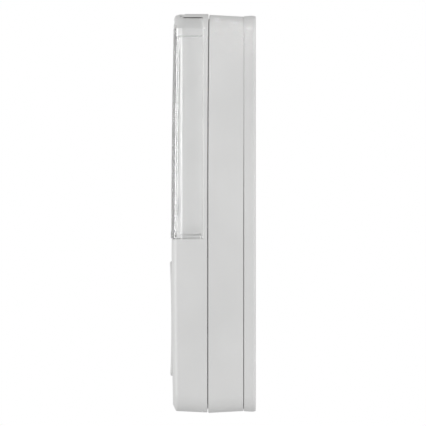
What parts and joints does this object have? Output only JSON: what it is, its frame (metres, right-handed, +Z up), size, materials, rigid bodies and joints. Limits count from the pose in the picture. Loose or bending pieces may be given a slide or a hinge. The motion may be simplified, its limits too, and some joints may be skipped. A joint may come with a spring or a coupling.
{
  "type": "programmable timer",
  "caption": "Wall-mounted heating programmer with a clear lift-up flap over its display and keys, a rocker pad below, and a wiring plate behind.",
  "frame": {"origin": "centre of the wall plate's rear face, which lies against the wall", "axes": "+X to the right seen from the front, +Y into the wall (the front faces -Y), +Z up"},
  "size_m": [0.09, 0.0287, 0.1322],
  "materials": {
    "housing": "fine spark-eroded texture",
    "wall_plate": "fine spark-eroded texture",
    "flap": "clear, polished",
    "window": "clear, polished",
    "lens": "milky, polished",
    "keys": "fine texture",
    "rocker": "satin",
    "terminal_plastic": "satin",
    "circuit_board": "solder resist",
    "rubber": "silicone",
    "lcd": "polarising film",
    "light_guide": "milky",
    "black_plastic": "satin",
    "relay_case": "satin",
    "capacitor_case": "satin",
    "varistor_coat": "dipped epoxy",
    "zinc_steel": "zinc plated",
    "spring_steel": "bright",
    "brass": "stamped"
  },
  "bodies": {
    "module": {"wall_plate": "wall_plate", "terminal_block": "terminal_plastic", "terminal_screw_1": "zinc_steel", "terminal_screw_2": "zinc_steel", "terminal_screw_3": "zinc_steel", "terminal_screw_4": "zinc_steel", "terminal_screw_5": "zinc_steel", "terminal_screw_6": "zinc_steel", "earth_terminal": "brass", "earth_screw": "zinc_steel", "rear_housing": "housing", "front_housing": "housing", "case_screw_upper_left": "zinc_steel", "case_screw_upper_right": "zinc_steel", "case_screw_lower_left": "zinc_steel", "case_screw_lower_right": "zinc_steel", "captive_screw_left": "zinc_steel", "captive_screw_right": "zinc_steel", "main_pcb": "circuit_board", "relay_heating": "relay_case", "relay_hot_water": "relay_case", "mains_capacitor": "capacitor_case", "smoothing_capacitor": "black_plastic", "varistor": "varistor_coat", "fuse": "black_plastic", "microcontroller": "black_plastic", "quartz_crystal": "spring_steel", "backup_cell": "spring_steel", "cell_clip": "spring_steel", "contact_blade_1": "brass", "contact_blade_2": "brass", "contact_blade_3": "brass", "contact_blade_4": "brass", "contact_blade_5": "brass", "contact_blade_6": "brass", "display_window": "window", "lcd_glass": "lcd", "lcd_frame": "light_guide", "light_guide": "light_guide", "contact_strip": "rubber", "keypad_mat": "rubber", "slide_switch": "black_plastic", "rocker_axle": "spring_steel", "indicator_lens_left": "lens", "indicator_lens_right": "lens", "indicator_led_left": "light_guide", "indicator_led_right": "light_guide"},
    "flap": {"flap": "flap", "hinge_pin_left": "spring_steel", "hinge_pin_right": "spring_steel"},
    "program_key_1": {"program_key_1": "keys"},
    "program_key_2": {"program_key_2": "keys"},
    "program_key_3": {"program_key_3": "keys"},
    "program_key_4": {"program_key_4": "keys"},
    "mode_slider": {"mode_slider": "keys"},
    "rocker_key": {"rocker_key": "rocker"},
    "override_key_left": {"override_key_left": "rocker"},
    "override_key_right": {"override_key_right": "rocker"}
  },
  "joints": [
    {"name": "flap_hinge", "type": "hinge", "parent": "module", "child": "flap", "pos_m": [0, -0.0255, 0.0642], "axis": [-1, 0, 0], "range_deg": [0, 110]},
    {"name": "program_key_1_press", "type": "slide", "parent": "module", "child": "program_key_1", "axis": [0, 1, 0], "range_m": [0, 0.0007], "stiffness_N_per_m": 2000},
    {"name": "program_key_2_press", "type": "slide", "parent": "module", "child": "program_key_2", "axis": [0, 1, 0], "range_m": [0, 0.0007], "stiffness_N_per_m": 2000},
    {"name": "program_key_3_press", "type": "slide", "parent": "module", "child": "program_key_3", "axis": [0, 1, 0], "range_m": [0, 0.0007], "stiffness_N_per_m": 2000},
    {"name": "program_key_4_press", "type": "slide", "parent": "module", "child": "program_key_4", "axis": [0, 1, 0], "range_m": [0, 0.0007], "stiffness_N_per_m": 2000},
    {"name": "mode_slider_slide", "type": "slide", "parent": "module", "child": "mode_slider", "axis": [1, 0, 0], "range_m": [-0.0045, 0.0045]},
    {"name": "rocker_tilt", "type": "hinge", "parent": "module", "child": "rocker_key", "pos_m": [0, -0.0246, -0.0354], "axis": [1, 0, 0], "range_deg": [-2.5, 2.5], "stiffness_Nm_per_rad": 0.7},
    {"name": "override_key_left_press", "type": "slide", "parent": "module", "child": "override_key_left", "axis": [0, 1, 0], "range_m": [0, 0.0007], "stiffness_N_per_m": 2000},
    {"name": "override_key_right_press", "type": "slide", "parent": "module", "child": "override_key_right", "axis": [0, 1, 0], "range_m": [0, 0.0007], "stiffness_N_per_m": 2000}
  ]
}
